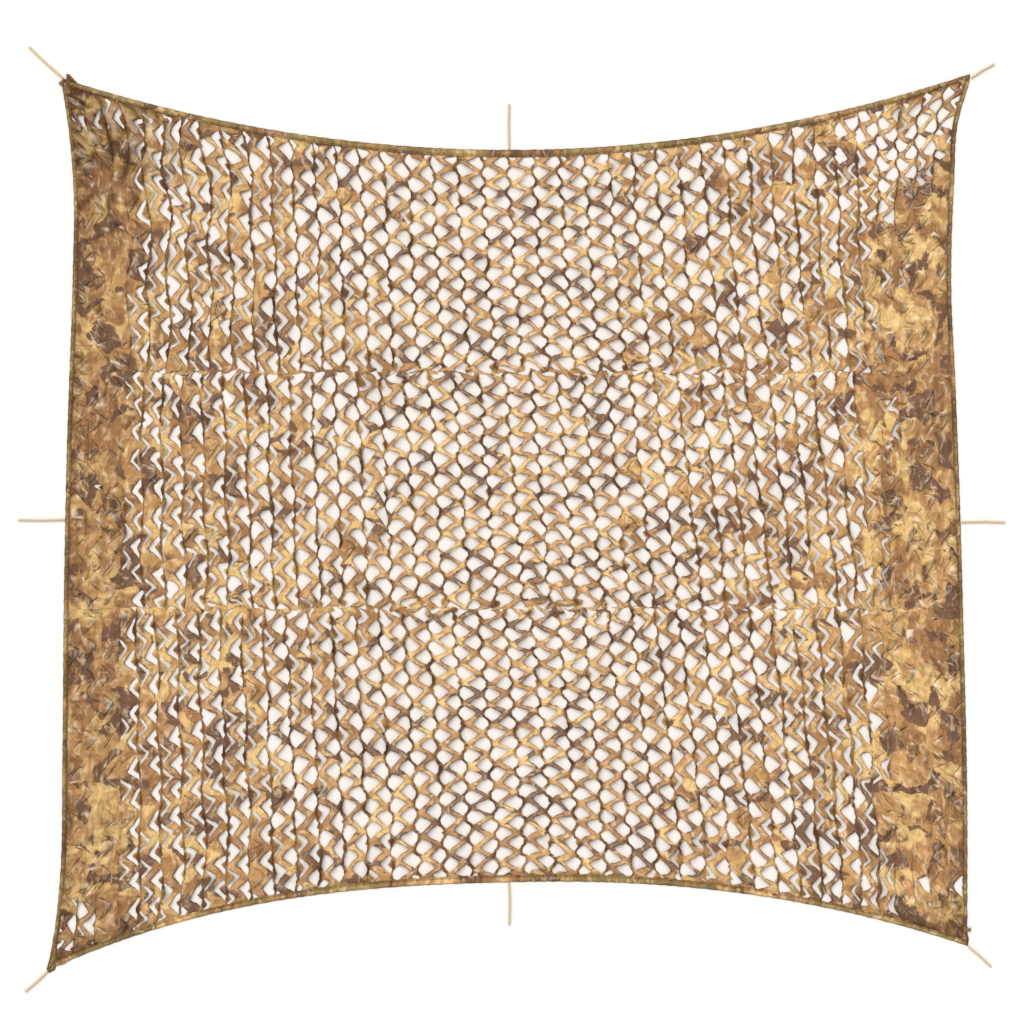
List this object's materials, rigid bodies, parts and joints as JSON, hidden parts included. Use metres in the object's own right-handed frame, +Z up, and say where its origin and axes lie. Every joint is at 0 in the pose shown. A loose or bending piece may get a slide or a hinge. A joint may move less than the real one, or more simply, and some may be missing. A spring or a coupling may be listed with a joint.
{
  "type": "camouflage net",
  "caption": "Square camouflage net of slit and stretched woodland-print cloth, bound with tape round the edge, laid out flat with short tie cords at its corners and edge middles.",
  "frame": {"origin": "on the floor, under the middle of the cloth and its binding", "axes": "+X to the right along the top edge, +Y up the net towards the top edge, +Z up from the floor"},
  "size_m": [3.2572, 3.1228, 0.014],
  "materials": {
    "printed_net_cloth": "matt printed woven cloth, thin",
    "printed_binding_tape": "matt printed tape, folded and sewn",
    "twisted_cord": "soft twisted fibre cord with cut ends"
  },
  "bodies": {
    "root": {"net_upper_width": "printed_net_cloth", "net_middle_width": "printed_net_cloth", "net_lower_width": "printed_net_cloth", "binding_top": "printed_binding_tape", "binding_bottom": "printed_binding_tape", "binding_left": "printed_binding_tape", "binding_right": "printed_binding_tape", "cord_top_left": "twisted_cord", "cord_top": "twisted_cord", "cord_top_right": "twisted_cord", "cord_right": "twisted_cord", "cord_bottom_right": "twisted_cord", "cord_bottom": "twisted_cord", "cord_bottom_left": "twisted_cord", "cord_left": "twisted_cord"}
  },
  "joints": []
}
